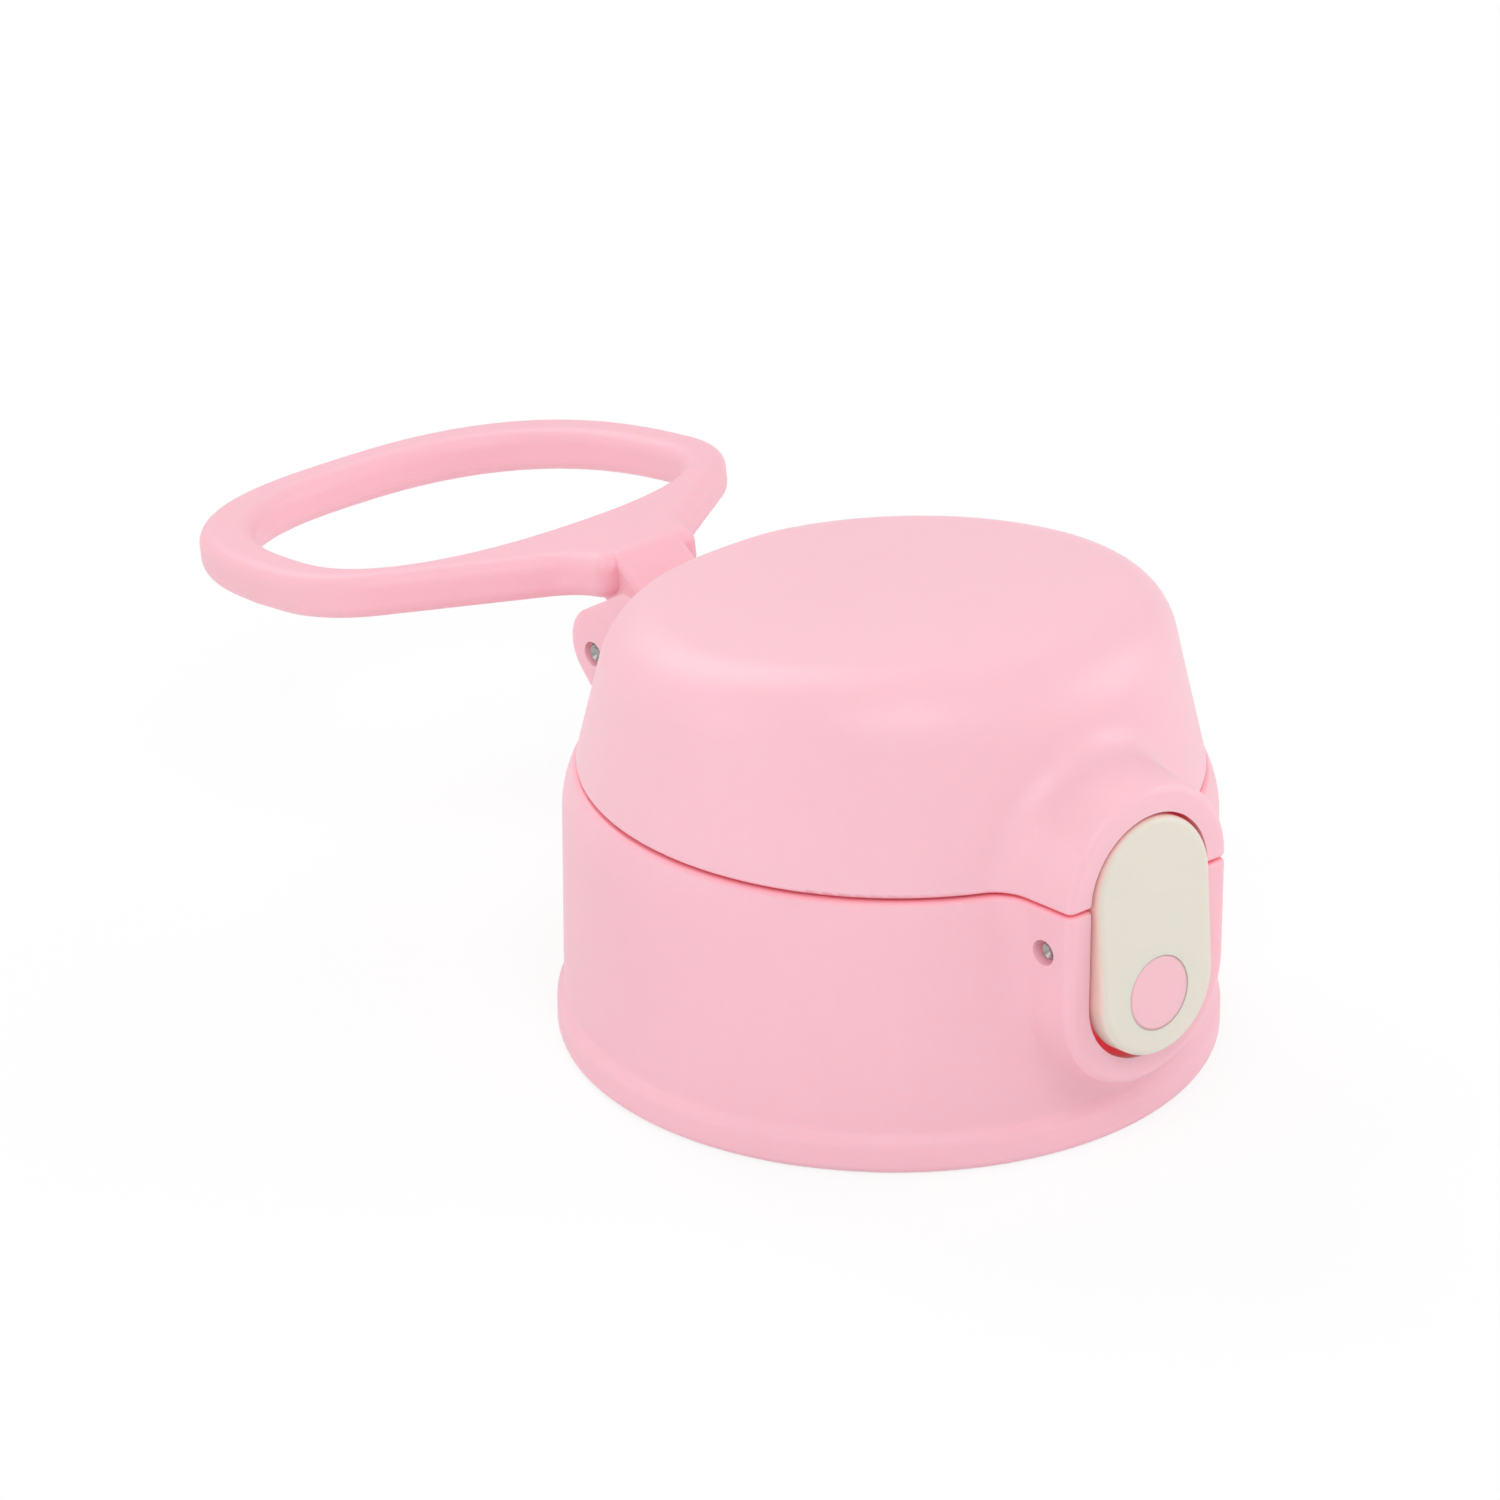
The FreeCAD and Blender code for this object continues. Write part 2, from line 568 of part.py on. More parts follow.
def build_lid():
    body = new_body("lid_shell")
    blank_top = lid_ridge_height + 6
    blank_radius = lid_radius - (blank_top - lid_floor) * s.lid_draft.tangent()
    section = new_sketch(body, "lid_section", "XZ_Plane")
    outline(
        section,
        (0, lid_floor),
        (lid_radius, lid_floor),
        (blank_radius, blank_top),
        (0, blank_top),
    )
    revolve(body, "lid_blank", section)
    trim_lid_top(body, blank_top)

    def is_top_edge(edge):
        spot = middle_of(edge)
        reach = sqrt(spot.x ** 2 + spot.y ** 2)
        wall = lid_radius.value - (spot.z - lid_floor.value) * s.lid_draft.tangent().value
        return abs(reach - wall) < 0.05 and spot.z > lid_cavity_top.value and is_wide(edge)

    round_edges(body, "lid_top_edge", is_top_edge, s.lid_edge)

    front = new_sketch(body, "hood_front_outline", "XZ_Plane", housing_front)
    arch_outline(front, housing_half, arch_centre, lid_floor - 4)
    pad(body, "hood", front, housing_front - lid_radius * 0.7, reverse=True, taper=s.housing_draft)
    below = new_sketch(body, "lid_foot_outline", "XY_Plane", lid_floor)
    circle(below, 0, 0, housing_front + 8)
    pocket(body, "lid_foot", below, as_size(12))

    def meets_dome(edge):
        spot = middle_of(edge)
        reach = sqrt(spot.x ** 2 + spot.y ** 2)
        wall = lid_radius.value - (spot.z - lid_floor.value) * s.lid_draft.tangent().value
        beside = abs(spot.x) < housing_half.value + 2.5 and spot.y < 0
        return abs(reach - wall) < 0.6 and beside and spot.z > lid_floor.value + 0.2

    round_edges(body, "hood_hollow", meets_dome, s.hood_blend)
    round_edges(body, "hood_lip", lambda edge: on_front(edge, housing_front), s.lip_rounding)
    seam_edge_soft(body, lid_floor)

    ear = new_sketch(body, "ear_side", "YZ_Plane", ear_inside)
    ear_outline(ear)
    side = pad(body, "ear", ear, s.ear_thickness)
    mirror_x(body, "ears", [side])

    room = new_sketch(body, "knuckle_room_side", "YZ_Plane")
    reach = s.knuckle_radius + s.knuckle_gap + 0.2
    outline(
        room,
        (hinge_back - reach, lid_floor - 1),
        (hinge_back - reach, hinge_height),
        (hinge_back, hinge_height + reach, reach, -1),
        (hinge_back + 10, hinge_height + reach),
        (hinge_back + 10, lid_floor - 1),
    )
    pocket(body, "knuckle_room", room, ear_inside * 2, midplane=True)

    room = new_sketch(body, "loop_room_outline", "XZ_Plane", s.loop_room - hinge_back)
    loop_room_outline(room)
    pocket(body, "loop_room", room, as_size(12))

    recess = new_sketch(body, "hood_recess_outline", "XZ_Plane", housing_front + 1)
    arch_outline(recess, recess_half, arch_centre, lid_floor - 1)
    pocket(body, "hood_recess", recess, housing_front + 1 - hood_back)

    catch = new_sketch(body, "latch_pocket_outline", "XZ_Plane", hood_back + 1)
    half = s.latch_width / 2 + s.latch_gap
    rise = s.hook_thickness + s.latch_gap * 4
    outline(
        catch,
        (-half, ledge_top),
        (half, ledge_top),
        (half, ledge_top + rise),
        (-half, ledge_top + rise),
    )
    pocket(body, "latch_pocket", catch, s.latch_hold + s.latch_gap * 2 + 1)

    inside = new_sketch(body, "cavity_outline", "XY_Plane", lid_floor)
    cavity_outline(inside, as_size(0))
    pocket(body, "lid_cavity", inside, lid_cavity_top - lid_floor, reverse=True, taper=-s.lid_draft)

    hole = new_sketch(body, "ear_bore", "YZ_Plane")
    circle(hole, hinge_back, hinge_height, s.pin_radius + s.pin_clearance)
    pocket(body, "ear_holes", hole, s.ear_outside * 2 + 2, midplane=True)
    mouth = new_sketch(body, "ear_mouth", "YZ_Plane", s.ear_outside - s.pin_sink)
    circle(mouth, hinge_back, hinge_height, s.pin_hole_radius)
    right = pocket(body, "ear_mouth_right", mouth, s.pin_sink + 1, reverse=True)
    mirror_x(body, "ear_mouths", [right])
    return body


def loop_room_outline(sketch):
    """The room for the loop's neck and flare, seen from behind; it follows the loop's outline."""
    clear = s.knuckle_gap * 2
    arm = loop_half_knuckle + clear
    neck = s.loop_neck_half + clear
    step = hinge_height + s.loop_neck_start - clear
    flare = hinge_height + s.loop_flare_start - s.loop_neck_blend * 0.4
    wide = (s.lid_rise - s.hinge_rise + 4) / s.loop_flare.tangent()
    top = flare + wide * s.loop_flare.tangent()
    outline(
        sketch,
        (-arm, lid_floor + 2),
        (arm, lid_floor + 2),
        (arm, step),
        (neck, step),
        (neck, flare),
        (neck + wide, top),
        (-neck - wide, top),
        (-neck, flare),
        (-neck, step),
        (-arm, step),
    )


def is_wide(edge):
    return edge.Length > 3.0


def trim_lid_top(body, blank_top):
    """Cut the top to a slope that falls to the hinge, a round brow ahead and a slight crown."""
    cut = new_sketch(body, "lid_top_profile", "YZ_Plane")
    reach = lid_radius + 4
    brow_back = s.lid_tilt.sine() * s.lid_brow_radius
    brow_top = lid_ridge_height + s.lid_brow_radius * (as_size(1) - s.lid_tilt.cosine())
    brow_start = -s.lid_ridge_front - brow_back
    front_drop = s.lid_brow_radius - (
        s.lid_brow_radius * s.lid_brow_radius - (reach + brow_start) * (reach + brow_start)
    ).root()
    rear_drop = (reach + s.lid_ridge_front) * s.lid_tilt.tangent()
    outline(
        cut,
        (-reach, brow_top - front_drop),
        (brow_start, brow_top, s.lid_brow_radius, -1),
        (-s.lid_ridge_front, lid_ridge_height, s.lid_brow_radius, -1),
        (reach, lid_ridge_height - rear_drop),
        (reach, blank_top + 1),
        (-reach, blank_top + 1),
    )
    axis_height = lid_ridge_height - s.lid_crown_radius
    axis = cut.addGeometry(Part.LineSegment(
        Vector(-10, axis_height.value, 0), Vector(10, axis_height.value, 0)), True)
    for point, across in ((1, -10), (2, 10)):
        pin_down(cut, "DistanceX", axis, point, across)
        pin_down(cut, "DistanceY", axis, point, axis_height)
    before = body.Shape.Volume
    groove = body.newObject("PartDesign::Groove", "lid_top")
    groove.Profile = cut
    groove.ReferenceAxis = (cut, ["Axis0"])
    groove.Angle = 16
    groove.Midplane = True
    doc.recompute()
    if groove.Shape.Volume > before - 1:
        raise RuntimeError("lid_top cuts nothing")


def ear_outline(sketch):
    """An ear's side: a round end about the pin that runs up and down into the lid's wall."""
    centre_y = hinge_back - s.ear_centre_front
    centre_z = hinge_height + s.ear_centre_rise
    lower = s.ear_radius * as_size(45).cosine()
    upper_y = s.ear_radius * s.ear_slope.sine()
    upper_z = s.ear_radius * s.ear_slope.cosine()
    slide = centre_z - lower - lid_floor
    root = lid_radius - 5
    run = centre_y + upper_y - root
    outline(
        sketch,
        (root, lid_floor),
        (centre_y + lower - slide, lid_floor),
        (centre_y + lower, centre_z - lower),
        (centre_y + s.ear_radius, centre_z, s.ear_radius, 1),
        (centre_y + upper_y, centre_z + upper_z, s.ear_radius, 1),
        (root, centre_z + upper_z + run * s.ear_slope.tangent()),
    )


def cavity_outline(sketch, inset):
    """The lid's inside from below: a circle with a flat at the rear, drawn in by inset."""
    radius = lid_cavity_radius - inset
    flat = hinge_back - s.lid_rear_wall - inset
    half = (radius * radius - flat * flat).root()
    outline(
        sketch,
        (-half, flat),
        (-radius, 0, radius, 1),
        (0, -radius, radius, 1),
        (radius, 0, radius, 1),
        (half, flat, radius, 1),
    )


def build_liner():
    """The cup that closes the lid's underside, with a ring that seals round the spout's tip."""
    body = new_body("lid_liner")
    top = lid_cavity_top - s.fit_clearance
    outside = new_sketch(body, "liner_outline", "XY_Plane", lid_floor)
    cavity_outline(outside, s.fit_clearance)
    pad(body, "liner_cup", outside, top - lid_floor, taper=-s.lid_draft)
    inside = new_sketch(body, "liner_inside", "XY_Plane", lid_floor)
    cavity_outline(inside, s.liner_wall + s.fit_clearance)
    hollow = top - s.liner_wall - lid_floor
    pocket(body, "liner_hollow", inside, hollow, reverse=True, taper=-s.lid_draft)
    ring = new_sketch(body, "seal_ring_outline", "XY_Plane", top - s.liner_wall)
    circle(ring, 0, 0, s.spout_radius + s.seal_ring_room)
    circle(ring, 0, 0, s.spout_radius + s.seal_ring_room + s.seal_ring_wall)
    pad(body, "seal_ring", ring, s.seal_ring_depth, reverse=True)
    return body


# Inner parts

def build_insert():
    """The threaded skirt and deck pushed up into the collar."""
    body = new_body("screw_insert")
    outside = bore_radius - s.fit_clearance
    section = new_sketch(body, "insert_section", "XZ_Plane")
    outline(
        section,
        (neck_radius, s.skirt_foot),
        (outside, s.skirt_foot),
        (outside, deck_height),
        (0, deck_height),
        (0, deck_under),
        (seal_seat_radius, deck_under),
        (seal_seat_radius, s.skirt_depth),
        (neck_radius, s.skirt_depth),
    )
    revolve(body, "skirt_and_deck", section)
    holes = new_sketch(body, "deck_holes", "XY_Plane", deck_height)
    circle(holes, 0, 0, s.spout_radius)
    circle(holes, 0, s.vent_back, s.vent_stem)
    pocket(body, "deck_hole", holes, s.deck_thickness + 1)
    return body


def build_gasket():
    body = new_body("neck_gasket")
    outside = seal_seat_radius - s.fit_clearance
    ring = new_sketch(body, "gasket_outline", "XY_Plane", deck_under - s.gasket_thickness)
    circle(ring, 0, 0, outside)
    circle(ring, 0, 0, outside - s.gasket_width)
    pad(body, "gasket_ring", ring, s.gasket_thickness)
    return body


def build_mouthpiece():
    """The soft spout: a collar grips the deck and its lower nozzle takes the straw."""
    body = new_body("mouthpiece")
    brim = s.spout_radius + s.spout_brim
    nozzle_foot = deck_under - s.nozzle_length
    nozzle = s.straw_radius + s.nozzle_wall
    straw_stop = nozzle_foot + s.straw_depth
    top = lid_cavity_top - s.spout_room
    section = new_sketch(body, "spout_section", "XZ_Plane")
    outline(
        section,
        (s.straw_radius, nozzle_foot),
        (nozzle, nozzle_foot),
        (nozzle, deck_under - s.spout_brim_thickness),
        (brim, deck_under - s.spout_brim_thickness),
        (brim, deck_under),
        (s.spout_radius, deck_under),
        (s.spout_radius, deck_height),
        (brim, deck_height),
        (brim, deck_height + s.spout_brim_thickness),
        (s.spout_radius, deck_height + s.spout_brim_thickness),
        (s.spout_tip_radius, top),
        (s.spout_bore, top),
        (s.spout_bore, straw_stop),
        (s.straw_radius, straw_stop),
    )
    revolve(body, "spout", section)
    return body


def build_vent():
    body = new_body("vent_valve")
    section = new_sketch(body, "valve_section", "XZ_Plane")
    outline(
        section,
        (0, deck_under - s.vent_head_thickness),
        (s.vent_head, deck_under - s.vent_head_thickness),
        (s.vent_head, deck_under),
        (s.vent_stem, deck_under),
        (s.vent_stem, deck_height),
        (s.vent_head, deck_height),
        (s.vent_stem, deck_height + s.vent_head_thickness),
        (0, deck_height + s.vent_head_thickness),
    )
    revolve(body, "valve", section)
    place(body, as_size(0), s.vent_back, as_size(0))
    return body


# Button

def build_button():
    body = new_body("release_button")
    front = new_sketch(body, "plate_outline", "XZ_Plane", s.button_reach)
    stadium_outline(front, s.button_width / 2, button_high, button_low)
    pad(body, "plate", front, s.button_plate, reverse=True)
    round_edges(body, "plate_edge", lambda edge: on_front(edge, s.button_reach), s.button_edge)

    inside = s.button_reach - s.button_plate
    barrel_half = recess_half - s.pin_clearance * 10
    barrel = new_sketch(body, "barrel_side", "YZ_Plane")
    circle(barrel, 0, 0, s.barrel_radius)
    pad(body, "barrel", barrel, barrel_half * 2, midplane=True)
    web = new_sketch(body, "web_side", "YZ_Plane")
    web_half = s.barrel_radius * 0.8
    box_outline(web, -inside - 0.3, -web_half, s.barrel_radius * 0.5, web_half)
    pad(body, "web", web, barrel_half * 2 - 4, midplane=True)

    hook = new_sketch(body, "hook_side", "YZ_Plane")
    box_outline(hook, -inside - 0.3, hook_foot, hook_tip, hook_foot + s.hook_thickness)
    pad(body, "hook", hook, s.latch_width, midplane=True)

    post = new_sketch(body, "spring_post_outline", "XZ_Plane", inside + 0.3)
    circle(post, 0, -s.button_spring_drop, s.button_spring_radius - s.spring_wire * 2.4)
    pad(body, "spring_post", post, s.spring_post + 0.3, reverse=True)

    dot = new_sketch(body, "dot_recess_outline", "XZ_Plane", s.button_reach)
    circle(dot, 0, -s.dot_drop, s.dot_radius + s.fit_clearance)
    pocket(body, "dot_recess", dot, s.dot_depth)

    hole = new_sketch(body, "button_bore", "YZ_Plane")
    circle(hole, 0, 0, s.pin_radius + s.pin_clearance)
    pocket(body, "button_pin_bore", hole, s.button_width, midplane=True)
    place_on_button_pin(body)
    return body


def build_dot():
    body = new_body("button_dot")
    front = new_sketch(body, "dot_outline", "XZ_Plane", s.button_reach)
    circle(front, 0, -s.dot_drop, s.dot_radius)
    pad(body, "dot", front, s.dot_depth, reverse=True)
    round_edges(body, "dot_edge", lambda edge: on_front(edge, s.button_reach), s.dot_edge)
    place_on_button_pin(body)
    return body


def place_on_button_pin(body):
    place(body, as_size(0), -button_pin_depth, button_middle, tilt=-s.button_lean)


# Pins and springs

def build_pins():
    steel_pin("hinge_pin", hinge_back, hinge_height, s.ear_outside - s.pin_sink)
    steel_pin("button_pin", -button_pin_depth, button_middle, housing_half - s.pin_sink)


def steel_pin(name, across, height, half):
    body = new_body(name)
    end = new_sketch(body, f"{name}_end", "YZ_Plane")
    circle(end, 0, 0, s.pin_radius)
    pad(body, f"{name}_rod", end, half * 2, midplane=True)
    round_edges(body, f"{name}_ends", lambda edge: edge.BoundBox.XLength < 0.01, s.pin_end)
    place(body, as_size(0), across, height)


def build_springs():
    """The lid's torsion spring round the hinge pin and the coil behind the button's foot."""
    mean = s.pin_radius + s.pin_clearance + s.spring_wire / 2 + s.spring_room
    length = s.spring_slot - s.spring_wire - s.knuckle_gap
    leg = s.spring_leg.value
    spring = doc.addObject("Part::Feature", "lid_spring")
    spring.Shape = coil_solid(mean.value, length.value, 2, [
        Part.makeCylinder(wire_radius(), leg, Vector(mean.value, -leg, 0), Vector(0, 1, 0)),
        Part.makeCylinder(wire_radius(), leg, Vector(mean.value, 0, length.value), Vector(0, 1, 0)),
    ])
    spring.Label = "lid_spring"
    inner_end = knuckle_outside - s.spring_slot + (s.spring_wire + s.knuckle_gap) / 2
    spring.Placement = Placement(
        Vector(inner_end.value, hinge_back.value, hinge_height.value),
        Rotation(Vector(0, 1, 0), 90),
    )

    foot = button_middle - s.button_spring_drop
    mean = s.button_spring_radius - s.spring_wire / 2
    length = s.button_spring_length - s.spring_wire
    spring = doc.addObject("Part::Feature", "button_spring")
    spring.Shape = coil_solid(mean.value, length.value, 4, [])
    spring.Label = "button_spring"
    spring.Placement = Placement(
        Vector(0, -(recess_back + s.spring_wire / 2).value, foot.value),
        Rotation(Vector(1, 0, 0), 90),
    )


def wire_radius():
    return s.spring_wire.value / 2


def coil_solid(radius, height, turns, legs):
    """A coil about Z made of tilted half turns that meet smoothly, with straight ends."""
    climb = height / turns / 2
    pieces = list(legs)
    for half in range(turns * 2):
        side = 1 if half % 2 == 0 else -1
        start = Vector(side * radius, 0, half * climb)
        end = Vector(-side * radius, 0, (half + 1) * climb)
        middle = (start + end) * 0.5
        onward = Vector(0, side, 0)
        section = Part.Face(Part.Wire([Part.makeCircle(wire_radius(), start, onward)]))
        pieces.append(section.revolve(middle, (start - middle).cross(onward), 180))
    return pieces[0].fuse(pieces[1:]).removeSplitter()


# Carry loop

def loop_outside():
    """The ring's outline: a neck, a straight flare, round corners and a rounded far end."""
    half = s.loop_neck_half.value
    wide = s.loop_half_width.value
    middle = s.loop_widest.value
    flare = s.loop_flare.value
    start = Vector(half, s.loop_neck_start.value, 0)
    inner = Vector(half, s.loop_flare_start.value, 0)
    corner = Vector(wide, inner.y + (wide - half) * tan(radians(flare)), 0)
    reach = middle - corner.y
    along = Vector(cos(radians(flare)), sin(radians(flare)), 0)
    arc_start = corner - along * reach
    radius = reach / tan(radians(90 - flare) / 2)
    centre = Vector(wide - radius, middle, 0)
    turn = radians(90 - flare) / 2
    arc_middle = centre + Vector(cos(turn), -sin(turn), 0) * radius
    right = [
        Part.makeLine(start, inner),
        Part.makeLine(inner, arc_start),
        Part.Arc(arc_start, arc_middle, Vector(wide, middle, 0)).toShape(),
    ]
    left = [edge.mirror(Vector(), Vector(1, 0, 0)) for edge in right]
    foot = Part.makeLine(Vector(-half, start.y, 0), start)
    return Part.Wire(Part.sortEdges([foot, far_end()] + right + left)[0])


def far_end():
    """The ring's far half, from its right side over its end to its left side."""
    middle = s.loop_widest.value
    reach = s.loop_far.value - middle
    points = []
    for step in range(25):
        angle = radians(step * 7.5)
        across, along = cos(angle), abs(sin(angle))
        x = s.loop_half_width.value * abs(across) ** (2 / 2.6) * (1 if across > 0 else -1)
        points.append(Vector(x, middle + reach * along ** (2 / 2.6), 0))
    curve = Part.BSplineCurve()
    curve.interpolate(
        Points=points, InitialTangent=Vector(0, 1, 0), FinalTangent=Vector(0, -1, 0))
    return curve.toShape()


def loop_hole():
    """The hole's outline, fuller at its far end than at its near end."""
    middle = s.loop_widest.value
    half = (s.loop_half_width - s.loop_band_side).value
    far = (s.loop_far - s.loop_band_far).value - middle
    near = middle - s.loop_hole_near.value
    points = []
    for step in range(48):
        angle = radians(step * 7.5 + 3.75)
        across, along = cos(angle), sin(angle)
        power, reach = (2.5, far) if along > 0 else (2.3, near)
        x = half * abs(across) ** (2 / power) * (1 if across > 0 else -1)
        y = middle + reach * abs(along) ** (2 / power) * (1 if along > 0 else -1)
        points.append(Vector(x, y, 0))
    curve = Part.BSplineCurve()
    curve.interpolate(Points=points, PeriodicFlag=True)
    return Part.Wire([curve.toShape()])


def loop_plate():
    """The ring and its neck, with hollow blends and rounded edges."""
    upward = Vector(0, 0, s.loop_thickness.value)
    plate = Part.Face(loop_outside()).extrude(upward)
    plate = plate.cut(Part.Face(loop_hole()).extrude(upward))
    plate.translate(Vector(0, 0, (s.loop_offset - s.loop_thickness / 2).value))
    plate = plate.makeFillet(s.loop_edge.value, neck_uprights(plate, s.loop_neck_start))
    plate = plate.makeFillet(s.loop_neck_blend.value, neck_uprights(plate, s.loop_flare_start))
    rims = [edge for edge in plate.Edges if edge.BoundBox.ZLength < 0.01]
    return plate.makeFillet(s.loop_edge.value, rims)


def neck_uprights(plate, along):
    """The plate's two upright edges beside its neck at that distance from the pin."""
    half = s.loop_neck_half.value
    beside = [edge for edge in plate.Edges if abs(abs(middle_of(edge).x) - half) < 0.05]
    return [edge for edge in beside if edge.BoundBox.ZLength > 1
            and abs(middle_of(edge).y - along.value) < 0.05]


def loop_arm():
    """The arm that joins the knuckle to the plate, with its upper edges rounded."""
    half = loop_half_knuckle.value
    start = s.loop_neck_start.value
    bottom = (s.loop_offset - s.loop_thickness / 2).value
    top = (s.loop_offset + s.loop_thickness / 2).value
    radius = s.knuckle_radius.value
    side = [(-0.47 * radius, 0.88 * radius), (start + 0.6, top), (start + 5, top),
            (start + 5, bottom), (start + 3.4, bottom), (0.97 * radius, 0.25 * radius), (0, 0)]
    arm = Part.Face(Part.makePolygon([Vector(-half, y, z) for y, z in side + side[:1]]))
    arm = arm.extrude(Vector(2 * half, 0, 0))

    def bends(edge):
        spot = middle_of(edge)
        return abs(spot.x) < 0.01 and abs(spot.z - top) < 0.01 and spot.y < start + 1

    arm = arm.makeFillet(s.loop_edge.value, [edge for edge in arm.Edges if bends(edge)])

    def rises(edge):
        spot = middle_of(edge)
        return abs(abs(spot.x) - half) < 0.01 and spot.z > spot.y * 0.45 + radius * 0.9

    return arm.makeFillet(s.loop_arm_edge.value, [edge for edge in arm.Edges if rises(edge)])


def loop_solid():
    half = loop_half_knuckle.value
    across = Vector(1, 0, 0)
    knuckle = Part.makeCylinder(s.knuckle_radius.value, 2 * half, Vector(-half, 0, 0), across)
    solid = loop_plate().fuse([loop_arm(), knuckle]).removeSplitter()
    bore = (s.pin_radius + s.pin_clearance).value
    return solid.cut(Part.makeCylinder(bore, 4 * half, Vector(-2 * half, 0, 0), across))


def build_carry_loop():
    loop = doc.addObject("Part::Feature", "carry_loop")
    loop.Shape = loop_solid()
    loop.Label = "carry_loop"
    loop.Placement = Placement(
        Vector(0, hinge_back.value, hinge_height.value),
        Rotation(Vector(1, 0, 0), -s.loop_droop.value),
    )


BUILDERS = [
    build_collar,
    build_insert,
    build_gasket,
    build_mouthpiece,
    build_vent,
    build_lid,
    build_liner,
    build_button,
    build_dot,
    build_pins,
    build_springs,
    build_carry_loop,
]

for build in BUILDERS:
    build()

# Checks and files


def check_document():
    for item in doc.Objects:
        bad = [word for word in item.State if word in ("Invalid", "Error")]
        if bad:
            raise RuntimeError(f"{item.Name}: {bad}")


def write_parts():
    os.makedirs("parts", exist_ok=True)
    for item in doc.Objects:
        if item.TypeId not in ("PartDesign::Body", "Part::Feature"):
            continue
        shape = item.Shape
        if shape.isNull() or not shape.isValid():
            raise RuntimeError(f"{item.Label} has no valid shape")
        shape.exportStep(f"parts/{item.Label}.step")
        print(f"{item.Label}: {shape.Volume:.1f} mm3, {len(shape.Solids)} solid(s)")


doc.recompute()
check_document()
write_parts()
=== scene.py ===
from math import cos, pi, radians, sin, tau

import bmesh
import bpy
from mathutils import Matrix, Vector


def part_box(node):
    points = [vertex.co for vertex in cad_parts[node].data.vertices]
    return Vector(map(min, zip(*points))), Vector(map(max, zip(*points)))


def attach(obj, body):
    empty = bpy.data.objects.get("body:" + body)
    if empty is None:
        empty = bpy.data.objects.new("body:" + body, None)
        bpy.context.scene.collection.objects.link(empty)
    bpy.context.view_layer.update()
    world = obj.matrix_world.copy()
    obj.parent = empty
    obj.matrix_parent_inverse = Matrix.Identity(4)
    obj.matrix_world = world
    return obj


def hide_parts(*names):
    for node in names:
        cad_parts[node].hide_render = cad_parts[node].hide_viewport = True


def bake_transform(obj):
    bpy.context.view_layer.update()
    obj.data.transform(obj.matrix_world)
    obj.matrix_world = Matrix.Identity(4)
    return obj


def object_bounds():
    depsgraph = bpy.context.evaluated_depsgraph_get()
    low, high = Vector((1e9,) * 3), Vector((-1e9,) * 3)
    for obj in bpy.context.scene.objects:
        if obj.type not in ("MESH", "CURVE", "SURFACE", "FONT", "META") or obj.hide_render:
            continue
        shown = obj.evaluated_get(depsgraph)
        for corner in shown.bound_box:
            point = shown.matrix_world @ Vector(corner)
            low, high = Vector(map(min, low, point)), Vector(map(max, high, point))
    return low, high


# Looks of the straw bottle cap: satin mouldings, steel pins and the soft parts under the lid.

bl_info = {
    "name": "Straw bottle cap looks",
    "version": (1, 0, 0),
    "blender": (4, 5, 0),
    "location": "View3D > Sidebar > Cap",
    "description": "Materials, soft parts, thread and stage for the straw bottle cap",
    "category": "Object",
}

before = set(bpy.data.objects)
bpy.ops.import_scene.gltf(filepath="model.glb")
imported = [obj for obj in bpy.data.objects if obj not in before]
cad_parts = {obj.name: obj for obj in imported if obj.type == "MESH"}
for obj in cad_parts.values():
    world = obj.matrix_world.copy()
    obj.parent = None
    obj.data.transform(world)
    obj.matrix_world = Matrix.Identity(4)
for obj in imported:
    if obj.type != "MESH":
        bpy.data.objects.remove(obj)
cad_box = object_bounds()

MM = 0.001

# Places on the solids that colours and pieces line up with, in millimetres and degrees; the seam,
# slot, recess, hood and button-side places bound the painted shade and painted red glow

SEAM_FADE_IN = (27.8, 28.15)
SEAM_FADE_OUT = (28.9, 28.55)
SLOT_LINE = (18.15, 28.5)
SLOT_WALL = (7.75, 7.6)
RECESS_FRONT = (-36.7, -35.0)
RECESS_BACK = (-29.0, -30.5)
HOOD_FADE = (30.0, 25.0)
BUTTON_SIDE = (6.9, 7.2)
BUTTON_LEAN = 4.5
DECK_THICKNESS = 2.4
NECK_BORE = 26.6
THREAD_TURNS = 2.25

# Strength of the painted shade and painted red glow beside the gaps, from 0 to 1

SEAM_PAINTED_GLOW, HOOD_PAINTED_GLOW, SIDE_PAINTED_GLOW = 0.4, 0.5, 0.45

# The photograph's viewpoint, in degrees, millimetres and pixels

VIEW_TURN, VIEW_RISE = -40.502, 25.510
VIEW_HEIGHT, VIEW_DISTANCE = 20, 700
VIEW_SLIDE = (-13.81, 8.509)
VIEW_FOCUS, VIEW_PIXELS, SENSOR_WIDTH = 7100.11, 1500, 36

# Name, place in metres, width in metres and power in watts of each lamp

LAMPS = (
    ("Key lamp", (-0.45, -0.62, 0.98), 0.75, 5.5),
    ("Side lamp", (0.85, -0.45, 0.45), 0.60, 2.8),
    ("Left lamp", (-0.90, 0.40, 0.40), 0.60, 1.35),
    ("Back lamp", (0.10, 0.85, 0.75), 0.70, 3.4),
)
LAMP_TARGET = (0, 0.01, 0.025)
WORLD_LIGHT = 0.54


# Sizes and colours that a user may change

def length(name, description, default):
    return bpy.props.FloatProperty(
        name=name, description=description, default=default, min=0.0, subtype="DISTANCE",
        unit="LENGTH", precision=5)


def colour(name, description, default):
    return bpy.props.FloatVectorProperty(
        name=name, description=description, default=default, size=3, min=0.0, max=1.0,
        subtype="COLOR_GAMMA")


def amount(name, description, default):
    return bpy.props.FloatProperty(
        name=name, description=description, default=default, min=0.0, max=1.0, subtype="FACTOR")


